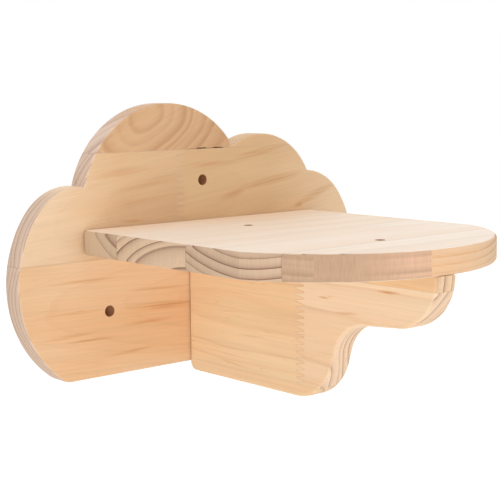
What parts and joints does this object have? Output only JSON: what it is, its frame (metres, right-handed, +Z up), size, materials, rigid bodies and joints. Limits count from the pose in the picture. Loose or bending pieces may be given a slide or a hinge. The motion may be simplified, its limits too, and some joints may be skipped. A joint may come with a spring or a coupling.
{
  "type": "wall shelf for a cat",
  "caption": "Solid pine wall step for a cat: a round-fronted shelf on a cloud-shaped back plate, carried by a curved bracket, with counterbored wall-screw holes.",
  "frame": {"origin": "on the plate's rear face, which lies against the wall, below the upper wall hole and level with the shelf's top", "axes": "+X to the right along the wall, +Y into the wall, +Z up; the shelf reaches out along -Y"},
  "size_m": [0.3336, 0.272, 0.2082],
  "materials": {
    "plate_pine": "fine-sanded, matt",
    "shelf_pine": "fine-sanded, matt",
    "bracket_pine": "fine-sanded, matt",
    "screw_steel": "yellow-passivated"
  },
  "bodies": {
    "root": {"plate_crown_stave": "plate_pine", "plate_middle_left": "plate_pine", "plate_middle_right": "plate_pine", "plate_lower_stave": "plate_pine", "shelf_rear_stave": "shelf_pine", "shelf_second_stave": "shelf_pine", "shelf_third_stave": "shelf_pine", "shelf_front_stave": "shelf_pine", "bracket_top_strip": "bracket_pine", "bracket_rear_block": "bracket_pine", "bracket_front_arm": "bracket_pine", "bracket_bottom_strip": "bracket_pine", "shelf_screws": "screw_steel", "plate_shelf_screws": "screw_steel", "plate_bracket_screws": "screw_steel"}
  },
  "joints": []
}
